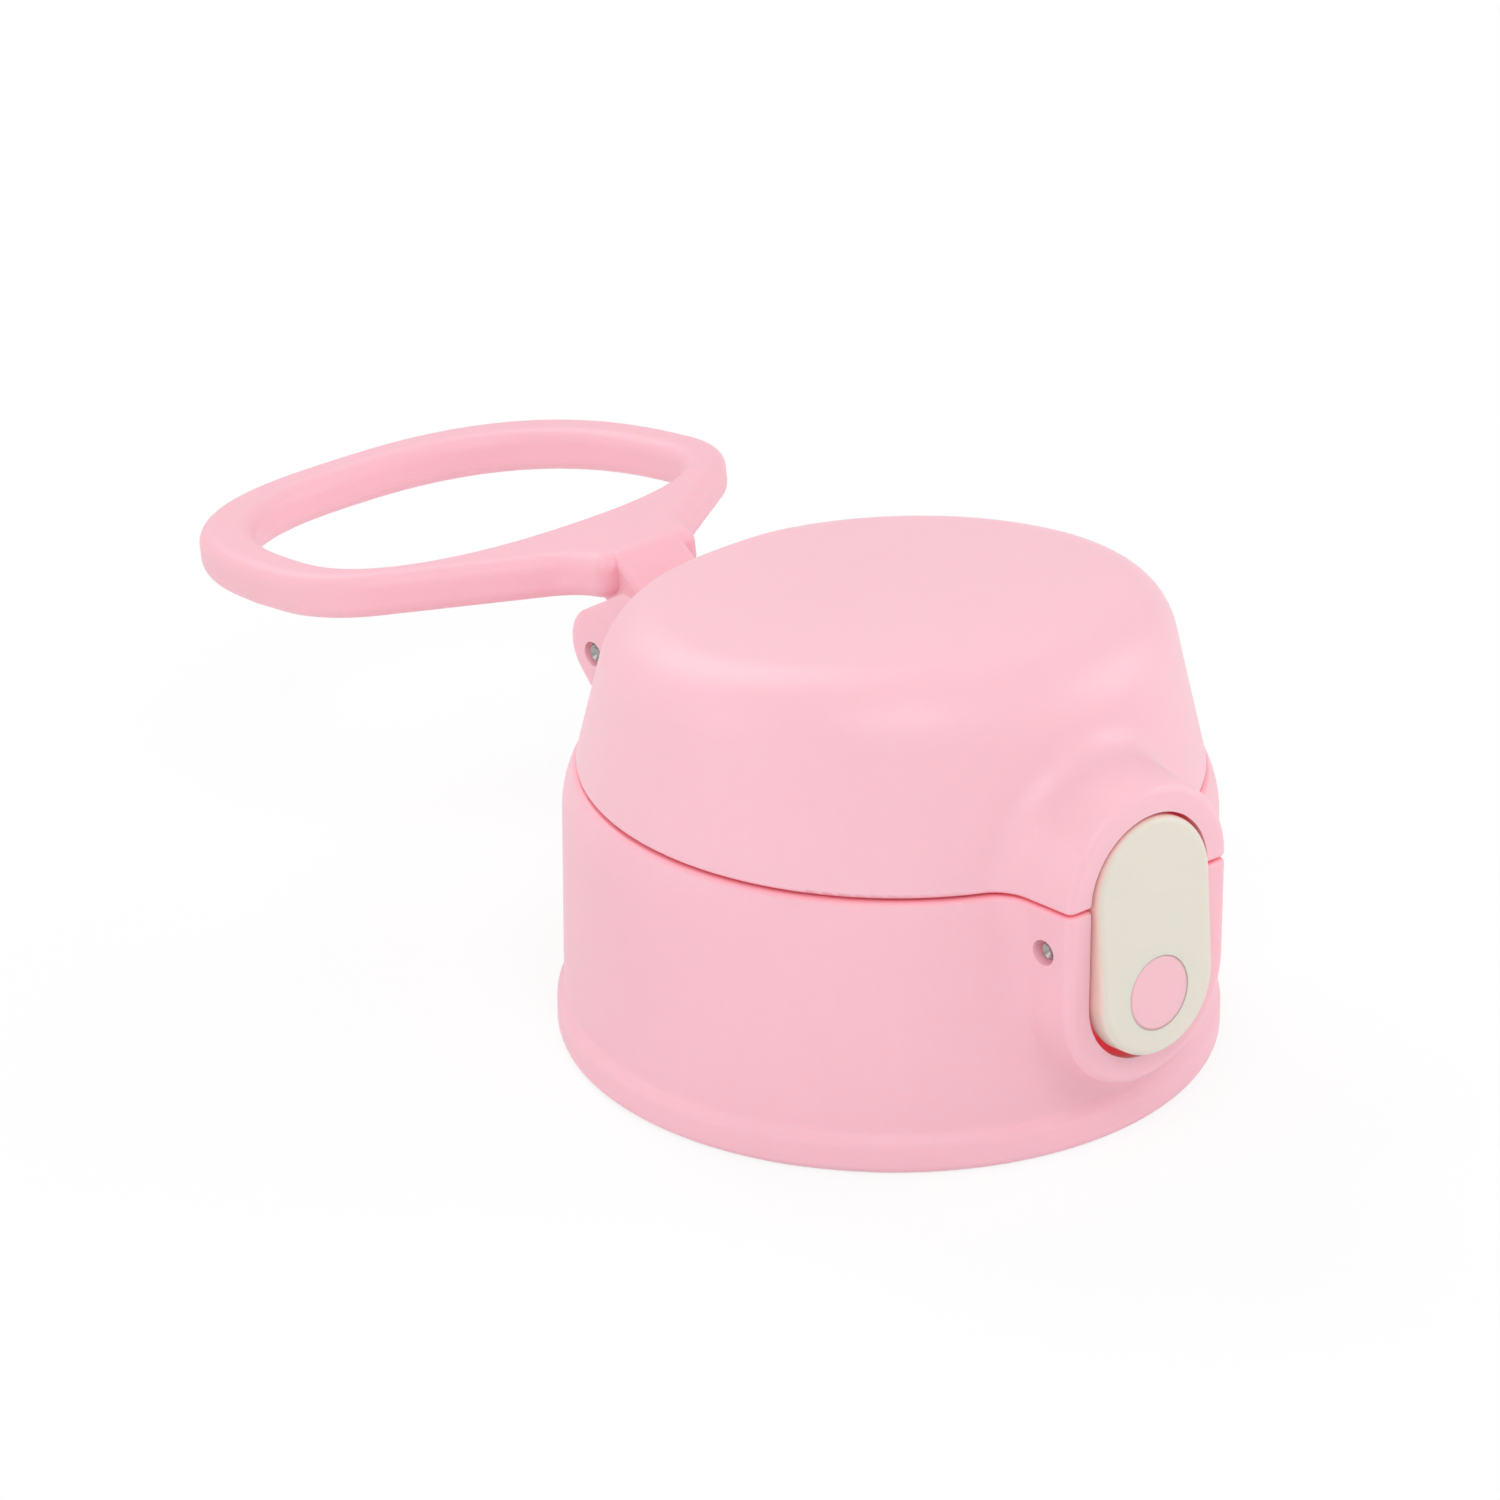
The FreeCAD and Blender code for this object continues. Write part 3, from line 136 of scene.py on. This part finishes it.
class CapColours(bpy.types.PropertyGroup):
    """Colours of the mouldings, as they look on the screen."""

    collar: colour("Collar", "Collar moulding", (0.964, 0.746, 0.794))
    lid: colour("Lid", "Lid moulding", (0.964, 0.758, 0.803))
    loop: colour("Loop", "Carry loop moulding", (0.958, 0.736, 0.783))
    button: colour("Button", "Rocker button", (0.878, 0.856, 0.808))
    dot: colour("Inlay", "Round inlay in the button", (0.967, 0.748, 0.787))
    inlay_seam: colour("Inlay seam", "Fine line round the inlay", (0.850, 0.690, 0.670))
    inner: colour("Inner mouldings", "Threaded skirt, deck and lid liner", (0.945, 0.938, 0.925))
    silicone: colour("Silicone", "Spout, valve and gasket", (0.925, 0.925, 0.915))
    roughness: amount("Roughness", "Roughness of the satin mouldings", 0.44)
    grain: amount("Grain", "Depth of the fine moulded grain", 0.5)


class CapSizes(bpy.types.PropertyGroup):
    """Sizes of the pieces that are made here."""

    thread_height: length("Thread height", "How far the thread stands into the neck bore", 0.0010)
    thread_pitch: length("Thread pitch", "Rise of the thread in one turn", 0.0045)
    thread_foot: length("Thread start", "Height at which the thread starts", 0.0030)
    soft_edge: length("Soft edge", "Rounding of the silicone parts' edges", 0.0004)
    dimple: length("Dimple", "Depth of the dimple in each pin end", 0.00035)
    spring_wire: length("Spring wire", "Wire of the coil behind the button", 0.0005)


# Meshes

def keep(name, mesh, body, material):
    """Make a finished piece that takes a material and, if a body is named, rides on it."""
    data = bpy.data.meshes.new(name)
    mesh.to_mesh(data)
    mesh.free()
    piece = bpy.data.objects.new(name, data)
    bpy.context.scene.collection.objects.link(piece)
    data.materials.append(material)
    for face in data.polygons:
        face.use_smooth = True
    if body is not None:
        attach(piece, body)
    return piece


def turned(profile, rounding, steps=96):
    """A solid of revolution about Z from (radius, height) corners in millimetres."""
    mesh = bmesh.new()
    corners = [mesh.verts.new((r * MM, 0, z * MM)) for r, z in profile]
    for a, b in zip(corners, corners[1:] + corners[:1]):
        mesh.edges.new((a, b))
    off_axis = [v for v in mesh.verts if v.co.x > 0.00001]
    bmesh.ops.bevel(
        mesh, geom=off_axis, offset=rounding, offset_type="OFFSET", segments=4, profile=0.5,
        affect="VERTICES", material=-1, clamp_overlap=True)
    bmesh.ops.spin(
        mesh, geom=mesh.verts[:] + mesh.edges[:], cent=(0, 0, 0), axis=(0, 0, 1), angle=tau,
        steps=steps, use_merge=True)
    bmesh.ops.remove_doubles(mesh, verts=mesh.verts, dist=0.000001)
    bmesh.ops.recalc_face_normals(mesh, faces=mesh.faces)
    return mesh


def moved(mesh, place):
    bmesh.ops.transform(mesh, matrix=place, verts=mesh.verts)
    return mesh


def helix_ridge(radius, reach, foot, pitch, turns, steps):
    """A thread ridge inside a bore, faded out at both ends."""
    mesh = bmesh.new()
    sunk, half_foot, half_crest = 0.0002, 0.0013, 0.00045
    section = [(sunk, -half_foot), (sunk, half_foot), (-reach, half_crest), (-reach, -half_crest)]
    corners = [mesh.verts.new((radius + x, 0, foot + z)) for x, z in section]
    mesh.faces.new(corners)
    bmesh.ops.bevel(
        mesh, geom=corners[2:], offset=0.0003, offset_type="OFFSET", segments=3, profile=0.5,
        affect="VERTICES", material=-1)
    bmesh.ops.spin(
        mesh, geom=mesh.verts[:] + mesh.edges[:] + mesh.faces[:], cent=(0, 0, 0), axis=(0, 0, 1),
        dvec=(0, 0, pitch * turns / steps), angle=tau * turns, steps=steps)
    bmesh.ops.recalc_face_normals(mesh, faces=mesh.faces)
    lead, fade = 0.06, 0.25
    for vert in mesh.verts:
        apart = Vector((vert.co.x, vert.co.y)).length
        turn = (vert.co.z - foot) / pitch
        near_end = min(1.0, max(0.0, min(turn + lead, turns - turn + lead) / fade))
        depth = (radius - apart) * near_end
        scale = (radius - depth) / apart
        if apart < radius:
            vert.co.x *= scale
            vert.co.y *= scale
    return mesh


def coil(mean, wire, length, end_turn, steps=28):
    """A compression spring along Z from 0 to its length, with three turns between closed ends."""
    mesh = bmesh.new()
    ring = bmesh.ops.create_circle(
        mesh, cap_ends=True, radius=wire / 2, segments=12,
        matrix=Matrix.Translation((mean, 0, wire / 2)) @ Matrix.Rotation(pi / 2, 4, "X"))
    last = ring["verts"] + mesh.edges[:] + mesh.faces[:]
    for turns, rise in (
        (end_turn, wire * 0.9), (3.0, length - wire * 2.8), (end_turn, wire * 0.9),
    ):
        count = round(steps * turns)
        spun = bmesh.ops.spin(
            mesh, geom=last, cent=(0, 0, 0), axis=(0, 0, 1), dvec=(0, 0, rise / count),
            angle=tau * turns, steps=count)
        last = spun["geom_last"]
    bmesh.ops.recalc_face_normals(mesh, faces=mesh.faces)
    return mesh


# Materials

class Value:
    """A socket that is used in sums, so that shader maths reads as sums."""

    def __init__(self, shader, socket):
        self.shader = shader
        self.socket = socket

    def __add__(self, other):
        return self.shader.maths("ADD", self, other)

    def __radd__(self, other):
        return self.shader.maths("ADD", other, self)

    def __sub__(self, other):
        return self.shader.maths("SUBTRACT", self, other)

    def __mul__(self, other):
        return self.shader.maths("MULTIPLY", self, other)


class Shader:
    """A new material and one way to add nodes to it."""

    def __init__(self, name):
        self.material = bpy.data.materials.new(name)
        self.material.use_nodes = True
        self.tree = self.material.node_tree
        self.surface = self.tree.nodes["Principled BSDF"]

    def add(self, kind, settings=None, sockets=None, output=0):
        node = self.tree.nodes.new(kind)
        for key, value in (settings or {}).items():
            setattr(node, key, value)
        for key, value in (sockets or {}).items():
            self.feed(node.inputs[key], value)
        return Value(self, node.outputs[output])

    def maths(self, operation, first, second):
        return self.add("ShaderNodeMath", {"operation": operation}, {0: first, 1: second})

    def feed(self, socket, value):
        if isinstance(value, Value):
            self.tree.links.new(value.socket, socket)
        else:
            socket.default_value = value

    def set(self, **values):
        for key, value in values.items():
            self.feed(self.surface.inputs[key.replace("_", " ")], value)

    def place(self, scale=(1, 1, 1)):
        where = self.add("ShaderNodeTexCoord", output="Object")
        return self.add("ShaderNodeMapping", None, {"Vector": where, "Scale": scale})

    def noise(self, place, scale, detail=2.0, roughness=0.5):
        return self.add(
            "ShaderNodeTexNoise", {"noise_dimensions": "3D"},
            {"Vector": place, "Scale": scale, "Detail": detail, "Roughness": roughness})

    def along(self, axis):
        """The height, depth or width of a point in the cap's own frame, in millimetres."""
        where = self.add("ShaderNodeTexCoord", output="Object")
        apart = self.add("ShaderNodeSeparateXYZ", None, {"Vector": where}, output=axis)
        return apart * 1000.0

    def ramp(self, value, start, end):
        """0 below start and 1 above end, with a soft step between; start may be the larger."""
        return self.add(
            "ShaderNodeMapRange", {"interpolation_type": "SMOOTHSTEP", "clamp": True},
            {"Value": value, "From Min": start, "From Max": end})

    def blend(self, factor, first, second):
        return self.add(
            "ShaderNodeMix", {"data_type": "RGBA"},
            {"Factor": factor, "A": first, "B": second}, output="Result")

    def bump(self, height, distance, strength=1.0):
        return self.add(
            "ShaderNodeBump", None,
            {"Height": height, "Distance": distance, "Strength": strength})


def linear(shown, shade=1.0):
    """A colour as seen on the screen, turned into light, and scaled by a shade."""
    light = [c / 12.92 if c <= 0.04045 else ((c + 0.055) / 1.055) ** 2.4 for c in shown]
    return (*[min(1.0, c * shade) for c in light], 1.0)


def seam_shade(shader):
    """Mask of painted shade and painted red glow: 1 in the gap between collar and lid, 0 a little
    way out of it.
    """
    height = shader.along("Z")
    return shader.ramp(height, *SEAM_FADE_IN) * shader.ramp(height, *SEAM_FADE_OUT)


def from_slot(shader):
    """Distance, seen from the front, to the upright line in the middle of the button."""
    height = shader.along("Z")
    foot, top = SLOT_LINE
    held = shader.add("ShaderNodeClamp", None, {"Value": height, "Min": foot, "Max": top})
    across, off = shader.along("X"), height - held
    return shader.maths("SQRT", across * across + off * off, 0.0)


def recess_shade(shader):
    """Mask of painted shade and painted red glow: 1 deep in the recess behind the button's foot,
    less under the hood, 0 outside it.
    """
    depth = shader.along("Y")
    deep = shader.ramp(depth, *RECESS_FRONT) * shader.ramp(depth, *RECESS_BACK)
    low = shader.ramp(shader.along("Z"), *HOOD_FADE)
    return shader.ramp(from_slot(shader), *SLOT_WALL) * deep * (low * (1 - HOOD_PAINTED_GLOW) + HOOD_PAINTED_GLOW)


def painted_edge_shade_and_glow(shader):
    """Mask of painted shade and painted red glow, above 0 only on the button's sides, standing in
    for the glow of the pink walls beside them.
    """
    return shader.ramp(from_slot(shader), *BUTTON_SIDE) * SIDE_PAINTED_GLOW


# Mask of the painted shade and painted red glow in the seam and the button recess
def gap_shade(shader):
    return seam_shade(shader) * SEAM_PAINTED_GLOW + recess_shade(shader)


def satin_plastic(name, shown, roughness, grain, gap=None):
    """Spark-finished moulded plastic: soft drift of colour and sheen and a very fine grain.

    About a gap, painted shade makes the colour deeper and redder and a painted red glow is emitted,
    standing in for light seeping through the thin walls.
    """
    shader = Shader(name)
    place = shader.place()
    drift = shader.noise(place, 38.0, 2.0)
    flow = shader.noise(shader.place((1.0, 1.0, 0.35)), 160.0, 3.0)
    fine = shader.noise(place, 5200.0, 2.0, 0.6)
    pores = shader.noise(place, 1500.0, 1.0, 0.5)
    tone = drift * 0.65 + flow * 0.35
    base = shader.blend(tone, linear(shown, 0.965), linear(shown, 1.03))
    if gap is not None:
        shade = gap(shader)
        # Painted shade: the colour turns deeper and redder about the gap
        deep = (shown[0], shown[1] * 0.84, shown[2] * 0.86)
        base = shader.blend(shade, base, linear(deep))
        # Painted red glow, emitted about the gap though the plastic is no lamp
        painted_glow = shader.blend(shade, (0, 0, 0, 1), (0.20, 0.014, 0.018, 1))
        shader.set(Emission_Color=painted_glow, Emission_Strength=1.0)
    shader.set(
        Base_Color=base,
        Roughness=roughness + (drift - 0.5) * 0.10 + (fine - 0.5) * 0.08,
        Normal=shader.bump(fine * 0.7 + pores * 0.3, 0.00005 * grain),
        Subsurface_Weight=0.25,
        Subsurface_Radius=(1.0, 0.34, 0.30),
        Subsurface_Scale=0.0024,
        Specular_IOR_Level=0.42,
    )
    return shader.material


def soft_silicone(name, shown):
    """Milky silicone with a dull skin and faint cloudiness."""
    shader = Shader(name)
    place = shader.place()
    cloud = shader.noise(place, 120.0, 3.0)
    skin = shader.noise(place, 2600.0, 2.0)
    shader.set(
        Base_Color=shader.blend(cloud, linear(shown, 0.93), linear(shown, 1.04)),
        Roughness=0.52 + (skin - 0.5) * 0.14,
        Normal=shader.bump(skin, 0.00003),
        Subsurface_Weight=0.35,
        Subsurface_Radius=(1.0, 0.95, 0.85),
        Subsurface_Scale=0.003,
        Sheen_Weight=0.15,
    )
    return shader.material


def drawn_steel(name, shown, along):
    """Bright wire with fine draw marks along its length."""
    shader = Shader(name)
    marks = shader.noise(shader.place(along), 2400.0, 3.0, 0.6)
    spots = shader.noise(shader.place(), 420.0, 2.0)
    shader.set(
        Base_Color=shader.blend(spots, linear(shown, 0.85), linear(shown, 1.1)),
        Metallic=1.0,
        Roughness=0.22 + marks * 0.16,
        Normal=shader.bump(marks, 0.00002),
    )
    return shader.material


def dress(node, material):
    """Give a CAD node its material."""
    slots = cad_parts[node].data.materials
    slots.clear()
    slots.append(material)


def colours():
    return bpy.context.scene.cap_colours


def sizes():
    return bpy.context.scene.cap_sizes


# Operators

class CAP_OT_mouldings(bpy.types.Operator):
    """Give every rigid moulding its satin plastic"""

    bl_idname = "cap.mouldings"
    bl_label = "Mouldings"

    def execute(self, context):
        tones = colours()
        # The last column names the mask of painted shade and painted red glow, or None
        for node, tone, extra, gap in (
            ("collar_shell", tones.collar, 0.0, gap_shade),
            ("lid_shell", tones.lid, -0.02, gap_shade),
            ("carry_loop", tones.loop, 0.02, None),
            ("release_button", tones.button, 0.0, painted_edge_shade_and_glow),
            ("button_dot", tones.dot, 0.0, None),
            ("screw_insert", tones.inner, -0.06, None),
            ("lid_liner", tones.inner, -0.04, None),
        ):
            dress(node, satin_plastic(
                f"{node} plastic", tone, tones.roughness + extra, tones.grain, gap))
        self.add_inlay_seam()
        return {"FINISHED"}

    def add_inlay_seam(self):
        """The inlay is moulded in, so a fine bead fills the line round it."""
        low, high = (Vector(corner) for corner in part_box("button_dot"))
        lean = radians(BUTTON_LEAN)
        outward = Vector((0, -cos(lean), sin(lean)))
        face = (low + high) / 2 + outward * 0.0005
        rim = (high.x - low.x) / 2 / MM
        profile = [
            (rim - 0.12, -0.34), (rim + 0.16, -0.34), (rim + 0.16, -0.10), (rim - 0.12, -0.10)]
        mesh = turned(profile, 0.00006, steps=96)
        turn = outward.to_track_quat("Z", "Y").to_matrix().to_4x4()
        moved(mesh, Matrix.Translation(face) @ turn)
        own = colours()
        plastic = satin_plastic("Inlay seam", own.inlay_seam, own.roughness, own.grain)
        keep("inlay_seam", mesh, "button", plastic)


class CAP_OT_steel(bpy.types.Operator):
    """Give the pins and springs their steel and dimple the pins' ends"""

    bl_idname = "cap.steel"
    bl_label = "Pins and springs"

    def execute(self, context):
        pin = drawn_steel("Pin steel", (0.66, 0.65, 0.65), (0.06, 1.0, 1.0))
        spring = drawn_steel("Spring steel", (0.74, 0.74, 0.76), (1.0, 1.0, 1.0))
        for node in ("hinge_pin", "button_pin"):
            dress(node, pin)
            self.add_ends(node, pin)
        for node in ("lid_spring", "button_spring"):
            dress(node, spring)
        self.add_button_coil(spring)
        return {"FINISHED"}

    def add_button_coil(self, material):
        """The coil behind the button: one end rests on the collar, the other on the foot."""
        low, high = (Vector(corner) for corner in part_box("button_spring"))
        middle, length = (low + high) / 2, high.y - low.y
        wire = sizes().spring_wire
        mesh = coil((high.x - low.x - wire) / 2, wire, length, end_turn=0.9)
        turn = Matrix.Rotation(pi / 2, 4, "X")
        moved(mesh, Matrix.Translation((middle.x, high.y, middle.z)) @ turn)
        spring = keep("button_coil", mesh, None, material)
        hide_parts("button_spring")
        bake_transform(spring)

    def add_ends(self, node, material):
        low, high = (Vector(corner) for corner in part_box(node))
        radius = (high.z - low.z) / 2 / MM
        depth = sizes().dimple / MM
        rim = radius - 0.16
        profile = [
            (0, 0.05), (rim * 0.45, 0.05 + depth * 0.2), (rim, 0.05 + depth),
            (radius - 0.03, 0.05 + depth * 0.7), (radius - 0.03, -0.25), (0, -0.25),
        ]
        whole = bmesh.new()
        for side, edge in ((1, high.x), (-1, low.x)):
            end = turned(profile, 0.00005, steps=40)
            turn = Matrix.Rotation(side * pi / 2, 4, "Y")
            centre = Vector((edge - side * 0.0001, (low.y + high.y) / 2, (low.z + high.z) / 2))
            moved(end, Matrix.Translation(centre) @ turn)
            data = bpy.data.meshes.new("end")
            end.to_mesh(data)
            end.free()
            whole.from_mesh(data)
            bpy.data.meshes.remove(data)
        keep(f"{node}_ends", whole, "collar", material)


class CAP_OT_spout(bpy.types.Operator):
    """Turn the soft spout with its two brims and its straw nozzle"""

    bl_idname = "cap.spout"
    bl_label = "Spout"

    def execute(self, context):
        low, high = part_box("mouthpiece")
        foot, top = low[2] / MM, high[2] / MM
        brim = high[0] / MM
        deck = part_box("screw_insert")[1][2] / MM
        under = deck - DECK_THICKNESS
        profile = [
            (3.0, foot), (4.3, foot), (4.5, foot + 0.6), (4.5, under - 1.6), (brim, under - 1.6),
            (brim, under), (4.2, under), (4.2, deck), (brim, deck), (brim, deck + 1.2),
            (5.0, deck + 1.6), (4.2, deck + 2.4), (4.0, deck + 5.0), (3.75, top - 5.5),
            (3.2, top - 2.6), (3.5, top - 1.2), (3.5, top), (2.0, top), (1.7, top - 1.4),
            (2.0, top - 3.4), (2.0, foot + 8.0), (3.0, foot + 8.0),
        ]
        mesh = turned(profile, sizes().soft_edge)
        spout = keep("spout", mesh, "collar",
                     soft_silicone("Spout silicone", colours().silicone))
        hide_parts("mouthpiece")
        return {"FINISHED"}


class CAP_OT_seals(bpy.types.Operator):
    """Turn the air valve and the gasket that seals on the bottle's neck"""

    bl_idname = "cap.seals"
    bl_label = "Valve and gasket"

    def execute(self, context):
        soft = soft_silicone("Seal silicone", colours().silicone)
        low, high = (Vector(corner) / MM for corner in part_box("vent_valve"))
        head = (high.x - low.x) / 2
        under, over = low.z + 1.0, high.z - 1.0
        profile = [
            (0, low.z + 0.3), (head * 0.5, low.z), (head, low.z + 0.35), (head, under),
            (1.6, under), (1.6, over), (head, over), (head * 0.85, over + 0.45),
            (head * 0.45, high.z), (0.5, high.z), (0.3, high.z - 0.5), (0, high.z - 0.5),
        ]
        mesh = turned(profile, sizes().soft_edge * 0.6, steps=64)
        moved(mesh, Matrix.Translation((0, (low.y + high.y) / 2 * MM, 0)))
        valve = keep("air_valve", mesh, "collar", soft)
        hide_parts("vent_valve")

        low, high = (Vector(corner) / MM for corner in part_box("neck_gasket"))
        outer, inner = high.x, high.x - 3.4
        profile = [
            (outer, low.z + 0.3), (outer, high.z), (inner, high.z), (inner, low.z + 0.5),
            (inner + 0.8, low.z), (inner + 1.5, low.z + 0.5), (outer - 1.4, low.z + 0.5),
            (outer - 0.8, low.z),
        ]
        mesh = turned(profile, sizes().soft_edge * 0.7, steps=160)
        gasket = keep("neck_seal", mesh, "collar", soft)
        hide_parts("neck_gasket")
        return {"FINISHED"}


class CAP_OT_thread(bpy.types.Operator):
    """Wind the thread ridges round the inside of the skirt"""

    bl_idname = "cap.thread"
    bl_label = "Neck thread"

    def execute(self, context):
        own = sizes()
        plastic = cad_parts["screw_insert"].data.materials[0]
        mesh = helix_ridge(
            NECK_BORE * MM, own.thread_height, own.thread_foot, own.thread_pitch,
            turns=THREAD_TURNS, steps=216)
        keep("neck_thread", mesh, "collar", plastic)
        return {"FINISHED"}


class CAP_OT_stage(bpy.types.Operator):
    """Set the floor, the lights and the camera"""

    bl_idname = "cap.stage"
    bl_label = "Stage"

    def execute(self, context):
        self.add_floor()
        self.set_world()
        for lamp in LAMPS:
            self.add_lamp(*lamp)
        self.add_camera()
        context.scene.view_settings.view_transform = "Standard"
        return {"FINISHED"}

    def add_floor(self):
        mesh = bmesh.new()
        bmesh.ops.create_grid(mesh, x_segments=1, y_segments=1, size=6.0)
        moved(mesh, Matrix.Translation((0, 0, cad_box[0][2] - 0.00005)))
        data = bpy.data.meshes.new("floor")
        mesh.to_mesh(data)
        mesh.free()
        floor = bpy.data.objects.new("floor", data)
        bpy.context.scene.collection.objects.link(floor)
        shader = Shader("Floor paper")
        grain = shader.noise(shader.place(), 300.0, 2.0)
        shader.set(Base_Color=shader.blend(grain, (0.93, 0.93, 0.93, 1), (0.95, 0.95, 0.95, 1)),
                   Roughness=0.9, Specular_IOR_Level=0.1)
        path = shader.tree.nodes.new("ShaderNodeLightPath")
        seen = Value(shader, path.outputs["Is Camera Ray"]) + Value(
            shader, path.outputs["Is Glossy Ray"])
        white = shader.add("ShaderNodeEmission", None, {"Color": (1, 1, 1, 1), "Strength": 1.0})
        paper = Value(shader, shader.surface.outputs[0])
        mixed = shader.add("ShaderNodeMixShader", None, {0: seen * 0.82, 1: paper, 2: white})
        shader.tree.links.new(mixed.socket, shader.tree.nodes["Material Output"].inputs[0])
        data.materials.append(shader.material)

    def set_world(self):
        world = bpy.data.worlds.new("Studio")
        bpy.context.scene.world = world
        world.use_nodes = True
        nodes, links = world.node_tree.nodes, world.node_tree.links
        ground = nodes["Background"]
        ground.inputs["Color"].default_value = (1, 1, 1, 1)
        path = nodes.new("ShaderNodeLightPath")
        level = nodes.new("ShaderNodeMapRange")
        level.inputs["To Min"].default_value = WORLD_LIGHT
        level.inputs["To Max"].default_value = 1.0
        links.new(path.outputs["Is Camera Ray"], level.inputs["Value"])
        links.new(level.outputs["Result"], ground.inputs["Strength"])

    def add_lamp(self, name, place, size, power):
        lamp = bpy.data.lights.new(name, "AREA")
        lamp.shape = "DISK"
        lamp.size = size
        lamp.energy = power
        holder = bpy.data.objects.new(name, lamp)
        bpy.context.scene.collection.objects.link(holder)
        holder.location = place
        aim = Vector(LAMP_TARGET) - Vector(place)
        holder.rotation_euler = aim.to_track_quat("-Z", "Y").to_euler()

    def add_camera(self):
        """The photograph's viewpoint: turned, raised, and slid across the view."""
        turn, rise = radians(VIEW_TURN), radians(VIEW_RISE)
        back = Vector((sin(turn) * cos(rise), -cos(turn) * cos(rise), sin(rise)))
        right = Vector((cos(turn), sin(turn), 0))
        up = back.cross(right)
        across, raised = VIEW_SLIDE
        middle = Vector((0, 0, VIEW_HEIGHT))
        place = middle + back * VIEW_DISTANCE + right * across + up * raised
        camera = bpy.data.cameras.new("Camera")
        camera.sensor_width = SENSOR_WIDTH
        camera.lens = VIEW_FOCUS / VIEW_PIXELS * SENSOR_WIDTH
        camera.clip_end = 50
        holder = bpy.data.objects.new("Camera", camera)
        bpy.context.scene.collection.objects.link(holder)
        axes = Matrix((right, up, back)).transposed().to_4x4()
        holder.matrix_world = Matrix.Translation(place * MM) @ axes
        bpy.context.scene.camera = holder


class CAP_PT_panel(bpy.types.Panel):
    """Colours, sizes and steps of the cap"""

    bl_idname = "CAP_PT_panel"
    bl_label = "Straw bottle cap"
    bl_space_type = "VIEW_3D"
    bl_region_type = "UI"
    bl_category = "Cap"

    def draw(self, context):
        for group in (context.scene.cap_colours, context.scene.cap_sizes):
            for name in group.__annotations__:
                self.layout.prop(group, name)
        for step in STEPS:
            self.layout.operator(step.bl_idname)


STEPS = (CAP_OT_mouldings, CAP_OT_steel, CAP_OT_spout, CAP_OT_seals, CAP_OT_thread, CAP_OT_stage)
CLASSES = (CapColours, CapSizes, *STEPS, CAP_PT_panel)


def register():
    for item in CLASSES:
        bpy.utils.register_class(item)
    bpy.types.Scene.cap_colours = bpy.props.PointerProperty(type=CapColours)
    bpy.types.Scene.cap_sizes = bpy.props.PointerProperty(type=CapSizes)


def unregister():
    del bpy.types.Scene.cap_sizes
    del bpy.types.Scene.cap_colours
    for item in reversed(CLASSES):
        bpy.utils.unregister_class(item)


def main():
    register()
    for step in STEPS:
        group, name = step.bl_idname.split(".")
        getattr(getattr(bpy.ops, group), name)()


if __name__ == "__main__":
    main()
